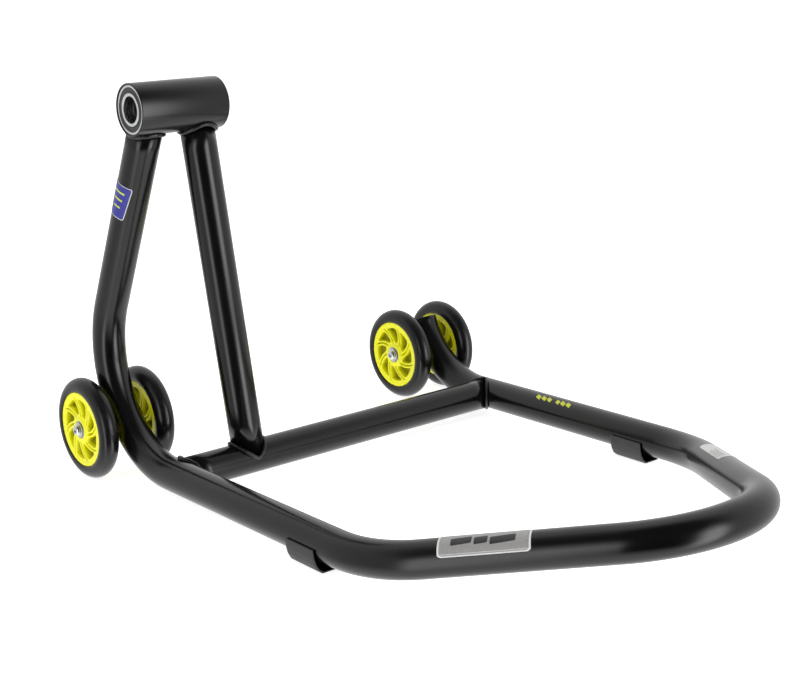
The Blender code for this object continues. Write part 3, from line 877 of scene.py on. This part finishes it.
def world_dot(direction):
    node = tree.nodes.new("ShaderNodeVectorMath")
    node.operation = "DOT_PRODUCT"
    node.inputs[1].default_value = direction
    tree.links.new(coords.outputs["Generated"], node.inputs[0])
    return node.outputs["Value"]


def grey(level):
    """Colour of one brightness, as a share of the brightest panel."""
    share = level / PANEL_PEAK
    return (share, share, share, 1.0)


def towards(direction, low, span, colour, level):
    """The colour so far, fading to one level as the view turns towards a direction."""
    node = tree.nodes.new("ShaderNodeMix")
    node.data_type = "RGBA"
    amount = world_maths("DIVIDE", world_maths("ADD", world_dot(direction), -low), span, clamp=True)
    tree.links.new(amount, node.inputs["Factor"])
    tree.links.new(colour, node.inputs[6])
    node.inputs[7].default_value = grey(level)
    return node.outputs[2]


# a ring of soft panels by bearing, pale below and dark above the side that the photograph was taken from
bearing = world_maths("ARCTAN2", world_dot(TO_RIGHT), world_dot(TO_CAMERA))
turn_part = world_maths("ADD", world_maths("DIVIDE", bearing, 2 * math.pi), 0.5)
panels = tree.nodes.new("ShaderNodeValToRGB")
while len(panels.color_ramp.elements) < len(PANELS):
    panels.color_ramp.elements.new(0.5)
for element, (degrees, level) in zip(panels.color_ramp.elements, PANELS):
    element.position = degrees / 360
    element.color = grey(level)
tree.links.new(turn_part, panels.inputs["Fac"])
with_ground = towards(DOWN, 0.42, 0.40, panels.outputs["Color"], GROUND_LEVEL)
with_roof = towards(FRONT_ABOVE, 0.55, 0.30, with_ground, ROOF_LEVEL)
background = tree.nodes["Background"]
background.inputs["Strength"].default_value = PANEL_PEAK
tree.links.new(with_roof, background.inputs["Color"])
# plain white behind the object, where the camera sees the world itself
white = tree.nodes.new("ShaderNodeBackground")
white.inputs["Color"].default_value = (1.0, 1.0, 1.0, 1.0)
rays = tree.nodes.new("ShaderNodeLightPath")
choose = tree.nodes.new("ShaderNodeMixShader")
tree.links.new(rays.outputs["Is Camera Ray"], choose.inputs["Fac"])
tree.links.new(background.outputs["Background"], choose.inputs[1])
tree.links.new(white.outputs["Background"], choose.inputs[2])
tree.links.new(choose.outputs["Shader"], tree.nodes["World Output"].inputs["Surface"])


def softbox(name, swing, height, distance, size, power):
    """Area light aimed at the stand, unseen in reflections; swing is its bearing in degrees to the
    right of the line from the object to the camera."""
    target = Vector((0.0, 0.0, 0.15))
    bearing = math.atan2(TO_CAMERA[1], TO_CAMERA[0]) + math.radians(swing)
    data = bpy.data.lights.new(name, "AREA")
    data.shape = "RECTANGLE"
    data.size, data.size_y = size
    data.energy = power
    obj = bpy.data.objects.new(name, data)
    scene.collection.objects.link(obj)
    place = Vector((math.cos(bearing) * distance, math.sin(bearing) * distance, height))
    obj.location = place
    obj.rotation_euler = (target - place).to_track_quat("-Z", "Y").to_euler()
    obj.visible_camera = False
    obj.visible_glossy = False


softbox("overhead", 150.0, 2.4, 0.5, (2.4, 2.0), 22.0)
softbox("fill_front", -25.0, 2.2, 2.2, (1.6, 1.6), 17.0)

camera_data = bpy.data.cameras.new("camera")
camera_data.sensor_width = 36.0
camera_data.lens = 68.305
camera_data.clip_start = 0.05
camera_data.clip_end = 200.0
camera = bpy.data.objects.new("camera", camera_data)
scene.collection.objects.link(camera)
yaw, pitch, roll = 0.682978, 0.254226, -0.026762
forward = Vector((math.sin(yaw) * math.cos(pitch), math.cos(yaw) * math.cos(pitch), -math.sin(pitch)))
right = Vector((math.cos(yaw), -math.sin(yaw), 0.0))
above = right.cross(forward)
right, above = (math.cos(roll) * right + math.sin(roll) * above,
                -math.sin(roll) * right + math.cos(roll) * above)
camera.matrix_world = Matrix((
    (right.x, above.x, -forward.x, -1.11044),
    (right.y, above.y, -forward.y, -1.26244),
    (right.z, above.z, -forward.z, 0.62405),
    (0.0, 0.0, 0.0, 1.0),
))
scene.camera = camera
scene.view_settings.view_transform = "Standard"

bpy.context.view_layer.update()
